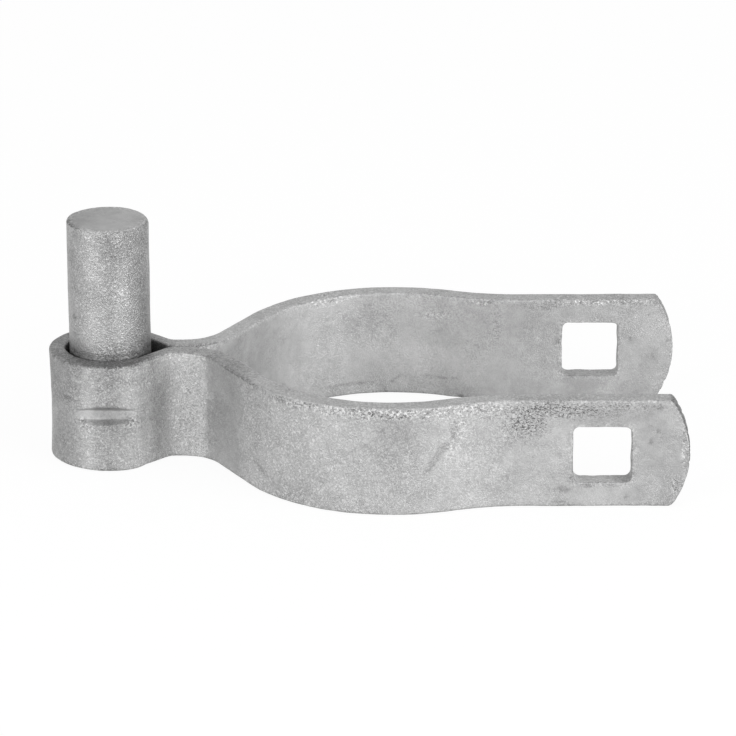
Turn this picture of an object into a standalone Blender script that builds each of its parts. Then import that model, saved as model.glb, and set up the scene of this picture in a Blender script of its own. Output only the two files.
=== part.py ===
"""Fence post hinge: a steel strip folded double round a pintle pin, pinched into a neck,
opened into a round post collar and ended in two parallel legs with square bolt holes.
The part stands on the strip's lower edges with the pin upright.
Sizes are in millimetres and angles in degrees. Points are made in metres."""

import math

import bmesh
import bpy

MM = 0.001

# Pin
PIN_D = 15.875
PIN_TOP = 47.4
PIN_FOOT = 0.5
PIN_EDGE = 0.7

# Strip
STRIP_W = 21.5
STRIP_T = 3.97
STRIP_EDGE = 0.5

# Loop round the pin: the strip thins where it is folded
LOOP_T = 3.7
PIN_GAP = 0.3
SHOULDER_R = 6.2
SHOULDER_FROM = 15.0
SHOULDER_TO = 60.0
CLOSE_ANGLE = 45.0
VALLEY_R = 0.8
WAIST = 0.25
WAIST_TO = 6.0

# Neck: the two walls pressed nearly together
NECK_GAP = 0.4
NECK_L = 1.0
NECK_LEAD_R = 3.0

# Collar for the post
FLARE_R = 8.1
FLARE_ANGLE = 60.0
COLLAR_WIDTH = 60.5
COLLAR_R = 32.4
LEAD_R = 39.0

# Legs
LEG_STEP = 4.35
TIP_X = 110.45
TIP_R = 18.4

# Square holes for a carriage bolt
HOLE_SIDE = 10.95
HOLE_X = 93.9
HOLE_CORNER = 1.2
HOLE_EDGE = 0.2

# Stake that locks the pin
STAKE_DEPTH = 1.8
STAKE_FLOOR = 1.85
STAKE_UPPER = 38.0
STAKE_LOWER = 24.0
STAKE_Z = 11.08
STAKE_YAW = 3.5
STAKE_TILT = 1.3
BULGE_DEPTH = 0.7
BULGE_FLOOR = 1.6
BULGE_DRAFT = 30.0

# How many facets each stretch has
PIN_SIDES = 96
LOOP_STEPS = 22
SHOULDER_STEPS = 9
VALLEY_STEPS = 2
CLOSING_STEPS = 4
NECK_LEAD_STEPS = 4
NECK_STEPS = 2
FLARE_STEPS = 10
RISE_STEPS = 3
COLLAR_STEPS = 20
LEG_LEAD_STEPS = 5
TIP_STEPS = 14
HOLE_CORNER_STEPS = 4
WIDTH_STEPS = 4
EDGE_SEGMENTS = 4
HOLE_EDGE_SEGMENTS = 2
BORE_STEPS = LOOP_STEPS + SHOULDER_STEPS - 1
BORE_CLOSING_STEPS = VALLEY_STEPS + CLOSING_STEPS + 1

# Edges that turn by less than these are left smooth
STRIP_EDGE_TURN = 40.0
HOLE_EDGE_TURN = 50.0
SHADE_TURN = 26.0

# Fitted sizes
PIN_R = PIN_D / 2
BORE_R = PIN_R + PIN_GAP
LOOP_R = BORE_R + LOOP_T
NECK_IN = NECK_GAP / 2
NECK_OUT = NECK_IN + LOOP_T
COLLAR_OUT = COLLAR_WIDTH / 2 + STRIP_T
LEG_IN = COLLAR_WIDTH / 2 - LEG_STEP
LEG_OUT = LEG_IN + STRIP_T
CENTRE_X = (TIP_X - LOOP_R) / 2
FAR = 3 * STRIP_W

# Colour and finish
ZINC = (0.44, 0.445, 0.45, 1.0)
ZINC_ROUGH = 0.5
PIN_ZINC = (0.46, 0.465, 0.47, 1.0)
PIN_ROUGH = 0.46
ZINC_METALLIC = 0.75


class Path:
    """A plan outline walked by tangent lines and arcs, keeping each point and its left normal."""

    def __init__(self, x, y, heading):
        self.x = x
        self.y = y
        self.heading = math.radians(heading)
        self.rows = []
        self.keep()

    def keep(self):
        normal = (-math.sin(self.heading), math.cos(self.heading))
        self.rows.append(((self.x, self.y), normal))

    def line(self, length, steps):
        for _ in range(steps):
            self.x += math.cos(self.heading) * length / steps
            self.y += math.sin(self.heading) * length / steps
            self.keep()

    def arc(self, radius, turn, steps):
        """Turns left for a positive turn, by chords of one circle."""
        part = math.radians(turn) / steps
        chord = 2 * radius * abs(math.sin(part / 2))
        for _ in range(steps):
            self.x += math.cos(self.heading + part / 2) * chord
            self.y += math.sin(self.heading + part / 2) * chord
            self.heading += part
            self.keep()


def drop(radius, turn):
    """How far an arc moves sideways while it turns from straight to this angle."""
    return radius * (1 - math.cos(math.radians(turn)))


def closing_length(y, lead_r, end_y):
    """Length of the closing line from height y to where the neck's lead arc starts."""
    return (y - end_y - drop(lead_r, CLOSE_ANGLE)) / math.sin(math.radians(CLOSE_ANGLE))


def loop_outer():
    """Outside of the loop, from its far end round one shoulder to the start of the neck."""
    path = Path(-LOOP_R, 0.0, 90.0)
    path.arc(LOOP_R, -(90.0 + SHOULDER_FROM), LOOP_STEPS)
    path.arc(SHOULDER_R, -(SHOULDER_TO - SHOULDER_FROM), SHOULDER_STEPS)
    path.arc(VALLEY_R, SHOULDER_TO - CLOSE_ANGLE, VALLEY_STEPS)
    path.line(closing_length(path.y, NECK_LEAD_R, NECK_OUT), CLOSING_STEPS)
    path.arc(NECK_LEAD_R, CLOSE_ANGLE, NECK_LEAD_STEPS)
    return path


def loop_inner():
    """Bore side of the loop: round the pin, then closing behind it to the neck's gap."""
    path = Path(-BORE_R, 0.0, 90.0)
    path.arc(BORE_R, -(90.0 + CLOSE_ANGLE), BORE_STEPS)
    path.line(closing_length(path.y, NECK_LEAD_R, NECK_IN), BORE_CLOSING_STEPS)
    path.arc(NECK_LEAD_R, CLOSE_ANGLE, NECK_LEAD_STEPS)
    return path


def half_plan():
    """Outer and inner points, station by station, of the half of the strip with y above zero."""
    outer = loop_outer()
    inner = [point for point, _ in loop_inner().rows]
    neck_from = len(inner)
    outer.line(NECK_L, NECK_STEPS)
    outer.arc(FLARE_R, FLARE_ANGLE, FLARE_STEPS)
    flare_to = len(outer.rows)
    rise = COLLAR_OUT - drop(COLLAR_R, FLARE_ANGLE) - outer.y
    outer.line(rise / math.sin(math.radians(FLARE_ANGLE)), RISE_STEPS)
    back = math.degrees(math.acos(1 - (COLLAR_OUT - LEG_OUT) / (COLLAR_R + LEAD_R)))
    outer.arc(COLLAR_R, -(FLARE_ANGLE + back), COLLAR_STEPS)
    outer.arc(LEAD_R, back, LEG_LEAD_STEPS)
    outer.line(TIP_X + STRIP_T - outer.x, 1)
    for i in range(neck_from, len(outer.rows)):
        (x, y), (nx, ny) = outer.rows[i]
        grown = min((i - neck_from + 1) / (flare_to - neck_from), 1.0)
        wall = LOOP_T + (STRIP_T - LOOP_T) * grown
        inner.append((x - nx * wall, y - ny * wall))
    return [point for point, _ in outer.rows], inner


def placed(points, z):
    """Plan points on a level, with the part's middle at x = 0."""
    return [((x - CENTRE_X) * MM, y * MM, z * MM) for x, y in points]


def new_object(name, mesh_builder):
    mesh = bpy.data.meshes.new(name)
    bm = bmesh.new()
    mesh_builder(bm)
    bmesh.ops.recalc_face_normals(bm, faces=bm.faces)
    bm.to_mesh(mesh)
    bm.free()
    made = bpy.data.objects.new(name, mesh)
    bpy.context.scene.collection.objects.link(made)
    return made


def prism(bm, corners, along):
    """A face on these corners, pushed along a vector into a closed block."""
    face = bm.faces.new([bm.verts.new(corner) for corner in corners])
    pushed = bmesh.ops.extrude_face_region(bm, geom=[face])
    verts = [item for item in pushed["geom"] if isinstance(item, bmesh.types.BMVert)]
    bmesh.ops.translate(bm, verts=verts, vec=along)


def helper(name, mesh_builder):
    """A block that only cuts or joins, and is no part of the hinge."""
    made = new_object(name, mesh_builder)
    made.hide_render = True
    made.display_type = "WIRE"
    return made


def add_boolean(target, name, operation, other):
    modifier = target.modifiers.new(name, "BOOLEAN")
    modifier.operation = operation
    modifier.solver = "EXACT"
    modifier.object = other


def add_bevel(target, name, width, segments, angle):
    modifier = target.modifiers.new(name, "BEVEL")
    modifier.width = width * MM
    modifier.segments = segments
    modifier.limit_method = "ANGLE"
    modifier.angle_limit = math.radians(angle)
    modifier.use_clamp_overlap = False


def metal(name, colour, rough):
    material = bpy.data.materials.new(name)
    material.use_nodes = True
    shader = material.node_tree.nodes["Principled BSDF"]
    shader.inputs["Base Color"].default_value = colour
    shader.inputs["Roughness"].default_value = rough
    shader.inputs["Metallic"].default_value = ZINC_METALLIC
    material.diffuse_color = colour
    return material


def finish(made, material):
    made.data.materials.append(material)
    made.data.shade_smooth()
    made.data.set_sharp_from_angle(angle=math.radians(SHADE_TURN))


def pull_in(vert):
    """Draws the loop's outside in at half height, as a folded strip curls, fading towards the valley."""
    x = vert.co.x / MM + CENTRE_X
    y = vert.co.y / MM
    radius = math.hypot(x, y)
    if x >= WAIST_TO or radius < BORE_R + LOOP_T / 2:
        return
    height = 2 * vert.co.z / (STRIP_W * MM) - 1
    fade = min(1.0, (WAIST_TO - x) / WAIST_TO)
    share = WAIST * (1 - height * height) * fade * fade * (3 - 2 * fade) / radius
    vert.co.x -= x * share * MM
    vert.co.y -= y * share * MM


def half_strip(bm):
    """Half of the strip as a row of four-sided blocks between the outer and inner outlines."""
    outer, inner = half_plan()
    outer_verts = [bm.verts.new(point) for point in placed(outer, 0.0)]
    inner_verts = [bm.verts.new(point) for point in placed(inner, 0.0)]
    faces = []
    for i in range(len(outer_verts) - 1):
        ring = (outer_verts[i], outer_verts[i + 1], inner_verts[i + 1], inner_verts[i])
        faces.append(bm.faces.new(ring))
    pushed = bmesh.ops.extrude_face_region(bm, geom=faces)
    verts = [item for item in pushed["geom"] if isinstance(item, bmesh.types.BMVert)]
    bmesh.ops.translate(bm, verts=verts, vec=(0.0, 0.0, STRIP_W * MM))
    upright = [edge for edge in bm.edges if edge.verts[0].co.z != edge.verts[1].co.z]
    bmesh.ops.subdivide_edges(bm, edges=upright, cuts=WIDTH_STEPS - 1, use_grid_fill=True)
    for vert in bm.verts:
        pull_in(vert)
    on_fold = [face for face in bm.faces if all(abs(vert.co.y) < 1e-9 for vert in face.verts)]
    bmesh.ops.delete(bm, geom=on_fold, context="FACES")


def leg_end_block(bm):
    """Everything beyond the rounded ends of both legs. The strip's corners and its middle
    fall halfway along a facet, so that no facet there is shorter than the edge rounding."""
    centre = TIP_X - TIP_R
    step = 2 * math.asin(STRIP_W / 2 / TIP_R) / TIP_STEPS
    radius = TIP_R / math.cos(step / 2)
    outline = []
    for i in range(TIP_STEPS + 2):
        a = step * (i - (TIP_STEPS + 1) / 2)
        outline.append((centre + radius * math.cos(a), STRIP_W / 2 + radius * math.sin(a)))
    outline.append((TIP_X + FAR, outline[-1][1]))
    outline.append((TIP_X + FAR, outline[0][1]))
    corners = [((x - CENTRE_X) * MM, -FAR * MM, z * MM) for x, z in outline]
    prism(bm, corners, (0.0, 2 * FAR * MM, 0.0))


def bolt_hole_bar(bm):
    """A square bar with rounded corners through both legs."""
    reach = HOLE_SIDE / 2 - HOLE_CORNER
    outline = []
    for side_x, side_z, start in ((1, 1, 0), (-1, 1, 90), (-1, -1, 180), (1, -1, 270)):
        for i in range(HOLE_CORNER_STEPS + 1):
            a = math.radians(start + 90.0 * i / HOLE_CORNER_STEPS)
            x = HOLE_X + side_x * reach + HOLE_CORNER * math.cos(a)
            z = STRIP_W / 2 + side_z * reach + HOLE_CORNER * math.sin(a)
            outline.append((x, z))
    corners = [((x - CENTRE_X) * MM, -FAR * MM, z * MM) for x, z in outline]
    prism(bm, corners, (0.0, 2 * FAR * MM, 0.0))


def wedge(bm, half_length, tip_y, tip_height, back_y, upper, lower, yaw=0.0, tilt=0.0):
    """A bar along x whose flat nose lies at tip_y and whose sides spread towards back_y. Yaw sets
    its end at low x deeper, and tilt sets it lower, both about the middle."""
    deep = abs(back_y - tip_y)
    askew_y = half_length * math.tan(math.radians(yaw))
    askew_z = half_length * math.tan(math.radians(tilt))
    z_low = STAKE_Z - tip_height / 2
    z_high = STAKE_Z + tip_height / 2
    spread_low = deep * math.tan(math.radians(lower))
    spread_high = deep * math.tan(math.radians(upper))
    outline = (
        (tip_y, z_low),
        (tip_y, z_high),
        (back_y, z_high + spread_high),
        (back_y, z_low - spread_low),
    )
    x = -half_length - CENTRE_X
    corners = [(x * MM, (y + askew_y) * MM, (z - askew_z) * MM) for y, z in outline]
    prism(bm, corners, (2 * half_length * MM, -2 * askew_y * MM, 2 * askew_z * MM))


def stake_cut(bm):
    """The mark of a chisel that stood a little askew, pressed across the front of the loop."""
    nose = STAKE_DEPTH - LOOP_R
    clear_y = -LOOP_R - STRIP_T
    wedge(bm, LOOP_R, nose, STAKE_FLOOR, clear_y, STAKE_UPPER, STAKE_LOWER, STAKE_YAW, STAKE_TILT)


def bulge_bar(bm):
    """The metal that the chisel drives inwards, out of the bore's wall."""
    nose = BULGE_DEPTH - BORE_R
    wedge(bm, BORE_R / 2, nose, BULGE_FLOOR, nose - BULGE_DEPTH - PIN_GAP, BULGE_DRAFT, BULGE_DRAFT)


def pocket_bar(bm):
    """The dent in the pin that the bulge locks into, with the pin's clearance all round."""
    nose = BULGE_DEPTH + PIN_GAP - BORE_R
    height = BULGE_FLOOR + 2 * PIN_GAP
    wedge(bm, PIN_R, nose, height, -LOOP_R, BULGE_DRAFT, BULGE_DRAFT)


def rod(bm):
    """The plain round pin, standing on its foot."""
    made = bmesh.ops.create_circle(bm, cap_ends=True, segments=PIN_SIDES, radius=PIN_R * MM)
    move = (-CENTRE_X * MM, 0.0, PIN_FOOT * MM)
    bmesh.ops.translate(bm, verts=made["verts"], vec=move)
    pushed = bmesh.ops.extrude_face_region(bm, geom=list(bm.faces))
    verts = [item for item in pushed["geom"] if isinstance(item, bmesh.types.BMVert)]
    bmesh.ops.translate(bm, verts=verts, vec=(0.0, 0.0, (PIN_TOP - PIN_FOOT) * MM))


def build_strap():
    strap = new_object("hinge_strap", half_strip)
    mirror = strap.modifiers.new("both_halves", "MIRROR")
    mirror.use_axis = (False, True, False)
    mirror.merge_threshold = 0.00001
    add_boolean(strap, "leg_ends", "DIFFERENCE", helper("cutter_leg_ends", leg_end_block))
    add_bevel(strap, "strip_edges", STRIP_EDGE, EDGE_SEGMENTS, STRIP_EDGE_TURN)
    add_boolean(strap, "bolt_holes", "DIFFERENCE", helper("cutter_bolt_holes", bolt_hole_bar))
    add_bevel(strap, "hole_edges", HOLE_EDGE, HOLE_EDGE_SEGMENTS, HOLE_EDGE_TURN)
    add_boolean(strap, "stake_bulge", "UNION", helper("stake_bulge_block", bulge_bar))
    add_boolean(strap, "stake_mark", "DIFFERENCE", helper("cutter_stake", stake_cut))
    finish(strap, metal("galvanised_strip", ZINC, ZINC_ROUGH))


def build_pin():
    pin = new_object("hinge_pin", rod)
    add_bevel(pin, "end_edges", PIN_EDGE, EDGE_SEGMENTS, STRIP_EDGE_TURN)
    add_boolean(pin, "stake_pocket", "DIFFERENCE", helper("cutter_pin_pocket", pocket_bar))
    finish(pin, metal("galvanised_pin", PIN_ZINC, PIN_ROUGH))


for old in list(bpy.data.objects):
    bpy.data.objects.remove(old, do_unlink=True)
build_strap()
build_pin()
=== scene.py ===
"""Looks of the fence post hinge: a galvanised strip folded round a pintle pin.
Both pieces are surfaces worked out in millimetres, with the pin's axis at x = 0, and are then
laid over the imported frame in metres. x runs from the pin to the leg ends and z up along the pin."""

import math

import bpy
import numpy as np
from mathutils import Matrix, Vector


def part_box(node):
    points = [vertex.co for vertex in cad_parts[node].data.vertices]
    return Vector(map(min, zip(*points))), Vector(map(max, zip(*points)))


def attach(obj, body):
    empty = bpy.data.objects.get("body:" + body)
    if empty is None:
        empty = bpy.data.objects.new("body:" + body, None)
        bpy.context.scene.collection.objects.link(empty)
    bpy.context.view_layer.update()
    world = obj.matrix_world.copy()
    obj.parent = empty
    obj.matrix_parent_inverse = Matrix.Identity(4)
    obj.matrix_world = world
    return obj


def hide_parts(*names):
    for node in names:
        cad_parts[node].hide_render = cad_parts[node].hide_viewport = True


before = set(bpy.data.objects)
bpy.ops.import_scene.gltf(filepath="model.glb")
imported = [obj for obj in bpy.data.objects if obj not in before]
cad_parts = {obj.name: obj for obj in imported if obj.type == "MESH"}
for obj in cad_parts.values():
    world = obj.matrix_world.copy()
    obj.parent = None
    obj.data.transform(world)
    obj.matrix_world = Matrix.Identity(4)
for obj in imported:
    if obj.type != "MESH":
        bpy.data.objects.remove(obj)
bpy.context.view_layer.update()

MM = 0.001
strap_low, strap_high = (np.array(corner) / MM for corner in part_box("hinge_strap"))
pin_low, pin_high = (np.array(corner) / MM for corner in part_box("hinge_pin"))

# Sizes that the frame gives
AXIS_X = (pin_low[0] + pin_high[0]) / 2
PIN_R = (pin_high[0] - pin_low[0]) / 2
PIN_TOP = pin_high[2]
PIN_FOOT = pin_low[2]
STRIP_W = strap_high[2]
LOOP_R = AXIS_X - strap_low[0]
TIP_ROOM = 0.01
TIP_X = strap_high[0] - AXIS_X - TIP_ROOM
COLLAR_OUT = strap_high[1]

# Strip
STRIP_T = 3.97
LOOP_T = 3.7
STRIP_EDGE = 0.5

# Loop and neck
SHOULDER_R = 6.2
SHOULDER_FROM = 15.0
SHOULDER_TO = 60.0
CLOSE_ANGLE = 45.0
VALLEY_R = 0.8
WAIST = 0.25
WAIST_TO = 6.0
BORE_LEAD = 0.4
BORE_LEAD_WIDTH = 4.0
NECK_GAP = 0.4
NECK_L = 1.0
NECK_LEAD_R = 3.0
VALLEY_FILL = 0.45
VALLEY_FILL_X = 8.0
VALLEY_FILL_L = 2.6

# Collar and legs
FLARE_R = 8.1
FLARE_ANGLE = 60.0
COLLAR_R = 32.4
LEAD_R = 39.0
LEG_STEP = 4.35
TIP_R = 18.4
TIP_REACH = 9.5
TIP_CORNER = 1.1
TIP_BLUNT_LOW = 0.45
TIP_BLUNT_TOP = 0.12
TIP_EDGE = 0.22
FAR_TIP_SKEW = 0.022

# Leg ends: the shear rolled the outer face over, widest on the near leg's upper half
ROLL_LEAST = 0.2
ROLL_MOST = 0.95
ROLL_FROM_Z = 5.0
ROLL_TO_Z = 17.0
ROLL_DEPTH = 0.6
FAR_ROLL = 0.3

# Square holes, each as its own punch left it
HOLE_X = 93.9
HOLE_CORNER = 1.2
NEAR_HOLE_LOW_CORNER = 1.7
HOLE_EDGE = 0.3
NEAR_HOLE_SIZE = (11.05, 11.1)
NEAR_HOLE_Z = 10.5
FAR_HOLE_SIZE = (11.05, 11.25)
FAR_HOLE_Z = 10.95
HOLE_WAVE = 3.0
HOLE_ROUGH = 0.05
NEAR_HOLE_SEED = 21
FAR_HOLE_SEED = 22
PUNCH_PAST = 1.0
PUNCH_FLARE = 1.5

# Chisel mark, the bulge that it raises in the bore, and the dent in the pin behind it
STAKE_DEPTH = 1.8
STAKE_FLOOR = 1.85
STAKE_UPPER = 38.0
STAKE_LOWER = 24.0
STAKE_Z = 11.08
STAKE_YAW = 3.5
STAKE_TILT = 1.3
STAKE_SOFT = 0.16
LIP_HEIGHT = 0.09
LIP_WIDTH = 0.5
BULGE_DEPTH = 0.7
BULGE_FLOOR = 1.6
BULGE_DRAFT = 30.0

# Pin ends
PIN_EDGE = 0.75
PIN_EDGE_UNEVEN = 0.4
PIN_EDGE_WORST = -25.0

# Fitted sizes
PIN_GAP = LOOP_R - LOOP_T - PIN_R
BORE_R = PIN_R + PIN_GAP
NECK_IN = NECK_GAP / 2
NECK_OUT = NECK_IN + LOOP_T
LEG_OUT = COLLAR_OUT - LEG_STEP
LEG_IN = LEG_OUT - STRIP_T

# Mesh spacing, and the sharpest edge that is still shaded smooth
WALK_STEP = 0.01
LOOP_STEP = 0.36
COLLAR_STEP = 0.6
LEG_END_STEP = 0.4
ROLL_BAND = 1.5
ROLL_STEP = 0.16
FACE_STEP = 0.48
STAKE_STEP = 0.2
STAKE_BAND = 2.9
EDGE_STEPS = 4
RIM_STEPS = 3
HOLE_POINTS = 120
PIN_AROUND = 180
PIN_LEVELS = 110
PIN_RIM_LEVELS = 7
PIN_DISC_RINGS = 10
PIN_DISC_CENTRE = 0.08
SMOOTH_ANGLE = 50.0

# Waves of the zinc skin, as wavelength and height, and the nicks of the sheared leg ends
WAVE_COUNT = 28
SKIN_WAVES = ((14.0, 0.035), (5.0, 0.02), (1.6, 0.008))
SKIN_SEED = 11
PIN_SKIN_SHIFT = 60.0
NICK_WAVE = 0.9
NICK_DEPTH = 0.14
NICK_SEED = 5

# Zinc coat: place along x, how coarse its grain is, and how much paler than the mean it is.
# The paleness is partly zinc tone and partly painted light: highlights round the near loop's
# shoulder and neck ridge, and shade on the loop's rim.
# Near face: its paleness round the loop's shoulder and the neck ridge is partly painted highlight
NEAR_COAT_AND_LIGHT = (
    (-9.0, 0.5, -0.19),
    (-5.0, 0.95, -0.09),
    (0.0, 0.9, -0.02),
    (4.2, 0.95, 0.05),
    (6.5, 0.95, 0.13),
    (8.8, 0.95, -0.05),
    (10.5, 1.0, 0.07),
    (13.0, 1.5, 0.27),
    (16.0, 1.9, 0.48),
    (17.8, 2.0, 0.52),
    (19.0, 0.3, -0.06),
    (24.5, 0.25, -0.07),
    (26.5, 1.1, 0.06),
    (40.0, 1.1, 0.04),
    (50.0, 0.4, 0.03),
    (68.0, 0.35, 0.02),
    (82.0, 0.0, 0.0),
    (95.0, -0.05, 0.0),
    (102.0, -0.12, -0.07),
    (111.0, -0.1, -0.07),
)
FAR_COAT = (
    (15.0, 0.2, -0.1),
    (24.0, -0.05, -0.1),
    (32.0, -0.1, 0.04),
    (46.0, -0.05, 0.1),
    (62.0, 0.1, 0.09),
    (75.0, -0.1, -0.02),
    (95.0, -0.1, -0.02),
    (111.0, 0.05, -0.02),
)
# Upper edge: its darkness on the loop's rim is painted shade under the pin
UPPER_COAT_AND_SHADE = (
    (-9.0, 0.3, -0.29),
    (0.0, 0.3, -0.46),
    (8.0, 0.4, -0.29),
    (12.0, 0.9, -0.06),
    (19.0, 0.5, -0.03),
    (22.0, 0.0, 0.02),
    (45.0, 0.1, 0.02),
    (111.0, 0.2, 0.0),
)
HIDDEN_COARSE = 0.5

# Coat of single places: where each one ends, and how much paler or smoother it is. The lower edge, the
# chisel mark's walls, the seam and the bore are darkened as painted shade.
EDGE_BAND = 1.0
# Painted shade on the strip's lower edge
LOWER_EDGE_SHADE = -0.22
LOOP_TO_X = 9.0
LOOP_PALE_SLOPE = -0.006
MARK_TO_X = 5.2
MARK_INSET = 0.35
MARK_FLAT_PALE = 0.01
# Painted shade on the chisel mark's walls
MARK_WALL_SHADE = -0.12
MARK_SMOOTH = -0.8
BORE_TO_X = 12.0
# Painted shade in the loop's bore
BORE_SHADE = -0.42
SEAM_FROM = 30.0
SEAM_TO = 60.0
SEAM_POINTS = 301
SEAM_X = 19.0
SEAM_REACH = 5.0
SEAM_WIDTH = 0.3
# Painted shade along the gap where the two halves meet
SEAM_SHADE = -0.34

# Worn rims, bare sheared metal on the leg ends and in the holes, and painted shade on the holes' rims
RIM_WIDTH = 0.8
ROLLED_WIDTH = 0.5
ROLLED_FROM_Z = 6.0
ROLLED_RISE = 8.0
FAR_ROLLED = 0.3
END_ZONE = 6.0
HOLE_ZONE = 6.2
HOLE_WALL_SHEAR = 0.4
# Near hole's sill: paler towards the hole's left and darker towards its right
NEAR_SILL_TONE = ((-5.0, -0.7), (2.0, -0.5), (4.5, 0.35))
FAR_SILL_SHEAR = 0.2
# Painted shade: a dark outline along the holes' rims
NEAR_HOLE_RIM_SHADE = 0.85
FAR_HOLE_RIM_SHADE = 0.45

# Which way a face looks to be one of those, as a part of its normal
FRONT_Y = 0.1
END_X = 0.6
UPPER_Z = 0.3
SILL_Z = 0.5
WALL_Y = 0.7
RIM_Y = (-0.985, -0.3)

# The pin's side, its sawn end and the rim between them
SIDE_COARSE = 0.35
SIDE_COARSE_SLOPE = 0.03
SAWN_INSET = 0.8
SAWN_DEPTH = 0.4
SAWN_COARSE = -0.35
SAWN_PALE = 0.05
PIN_RIM_INSET = 1.6
PIN_RIM_WIDTH = 1.0
RIM_LINE_DEPTH = 0.3

# Marks of the dip and the shop, with painted glints on the beads and some painted shade among
# the stains: x, z, half length, half width, turn in degrees and strength
NEAR_BEADS_AND_GLINTS = (
    (49.5, 20.4, 14.0, 1.0, 0.0, 1.2),
    (66.0, 20.2, 9.0, 1.1, 0.0, 1.0),
    (109.4, 12.0, 0.6, 4.5, 0.0, 0.8),
    (107.8, 4.2, 0.9, 2.0, 0.0, 0.7),
    (36.0, 20.3, 3.0, 0.9, 0.0, 0.8),
    (16.0, 11.0, 2.0, 9.0, 0.0, 0.65),
    (-2.0, 17.5, 1.2, 2.2, 0.0, 0.5),
    (4.6, 9.6, 1.3, 1.3, 30.0, 0.9),
    (-4.7, 9.4, 1.6, 0.9, -25.0, 0.85),
    (66.5, 15.5, 5.5, 1.4, 68.0, 0.5),
)
NEAR_PITS = (
    (84.0, 19.4, 11.0, 1.6, 0.0, 1.25),
    (79.5, 16.9, 5.0, 2.8, 12.0, 1.2),
    (73.0, 18.8, 4.0, 1.6, 0.0, 0.5),
    (98.0, 20.2, 8.0, 0.8, 0.0, 0.7),
    (28.0, 20.9, 5.0, 0.5, 0.0, 0.5),
)
# Near stains; those along the hole's left and lower rim are painted shade
NEAR_STAINS_AND_SHADE = (
    (63.1, 11.7, 4.6, 1.0, 53.0, 0.9),
    (65.8, 17.0, 2.6, 0.9, 75.0, 0.6),
    (29.5, 4.8, 2.8, 0.7, -45.0, 0.75),
    (23.5, 21.2, 6.0, 0.4, 0.0, 1.0),
    (86.5, 3.6, 1.8, 0.9, 0.0, 0.75),
    (103.0, 13.2, 1.2, 0.8, 40.0, 0.55),
    (104.3, 15.0, 1.1, 0.7, 60.0, 0.6),
    (104.9, 20.0, 2.0, 1.0, 0.0, 0.5),
    (98.4, 2.1, 0.7, 0.7, 0.0, 0.65),
    (91.2, 4.4, 1.9, 0.5, 0.0, 0.9),
    (95.6, 4.4, 1.2, 0.5, 0.0, 0.9),
    (88.3, 5.6, 0.9, 0.45, 115.0, 1.0),
    (88.0, 9.5, 0.4, 4.0, 0.0, 0.6),
    (85.0, 1.0, 5.0, 0.5, 0.0, 0.5),
    (58.5, 2.6, 1.2, 0.5, -20.0, 0.6),
    (33.0, 20.4, 1.8, 0.6, 0.0, 0.9),
    (38.6, 20.8, 1.4, 0.4, 0.0, 0.9),
    (-7.6, 14.0, 1.8, 1.4, 0.0, 0.5),
    (-3.0, 19.2, 2.4, 0.8, 0.0, 0.3),
)
FAR_BEADS_AND_GLINTS = (
    (95.0, 21.0, 13.0, 0.6, 0.0, 0.9),
    (72.5, 20.7, 3.4, 0.7, 0.0, 0.7),
    (63.0, 17.2, 3.2, 0.8, 8.0, 0.7),
    (41.5, 20.9, 3.4, 0.9, 0.0, 1.0),
    (17.0, 20.6, 3.5, 0.8, 0.0, 0.8),
)
FAR_PITS = (
    (84.0, 20.2, 7.0, 0.6, 0.0, 0.4),
    (75.5, 16.0, 1.6, 5.0, 0.0, 0.45),
    (47.0, 1.6, 12.0, 0.8, 0.0, 0.3),
)
FAR_STAINS = (
    (46.5, 2.5, 7.0, 0.5, 0.0, 0.7),
    (55.3, 3.2, 2.4, 0.5, 34.0, 0.65),
    (64.5, 4.0, 7.0, 0.5, 2.0, 0.65),
    (53.3, 0.5, 0.6, 0.6, 0.0, 0.8),
    (68.3, 0.5, 0.6, 0.6, 0.0, 0.9),
    (33.5, 5.0, 3.5, 0.7, -50.0, 0.5),
    (105.6, 18.3, 1.6, 0.4, 25.0, 0.6),
    (102.0, 13.0, 0.8, 0.8, 0.0, 0.4),
    (109.3, 12.8, 0.35, 0.7, 0.0, 0.7),
    (106.5, 9.0, 0.9, 1.4, 0.0, 0.4),
    (87.6, 12.6, 0.9, 2.4, 0.0, 0.5),
    (84.0, 19.9, 5.0, 0.7, 0.0, 0.5),
)
# Pin stains; the first, a ring at the foot, is painted shade where the pin enters the loop
PIN_STAINS_AND_SHADE = (
    (0.0, 22.2, 20.0, 0.5, 0.0, 0.55),
    (-6.3, 29.0, 0.7, 0.9, 0.0, 0.7),
    (0.6, 42.5, 1.8, 1.5, 0.0, 0.35),
    (-6.6, 41.0, 1.0, 2.6, 0.0, 0.4),
    (6.8, 34.0, 0.9, 7.0, 0.0, 0.35),
)

# Broad tones, some of them painted highlights and shade on the loop and the pin: x, z, half width,
# half height and how much paler. The sawn end's is in x and y.
# Near tones; the first two are a painted highlight and painted shade across the loop
NEAR_TONES_AND_LIGHT = (
    (-4.0, 10.75, 1.3, 99.0, 0.19),
    (0.6, 10.75, 2.2, 99.0, -0.12),
    (42.0, 18.5, 5.0, 4.0, 0.13),
    (38.0, 10.0, 9.0, 8.0, 0.07),
    (56.5, 16.0, 6.0, 5.0, -0.16),
    (67.0, 10.0, 5.0, 6.0, 0.05),
    (86.0, 5.0, 5.0, 4.0, -0.06),
    (94.0, 18.5, 8.0, 2.5, -0.12),
)
FAR_TONES = (
    (50.0, 16.5, 7.0, 5.0, -0.13),
    (83.0, 17.0, 5.0, 5.0, -0.08),
    (39.0, 8.0, 6.0, 5.0, 0.14),
    (61.0, 8.0, 8.0, 4.5, 0.13),
    (74.0, 7.0, 8.0, 4.0, 0.05),
)
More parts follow.
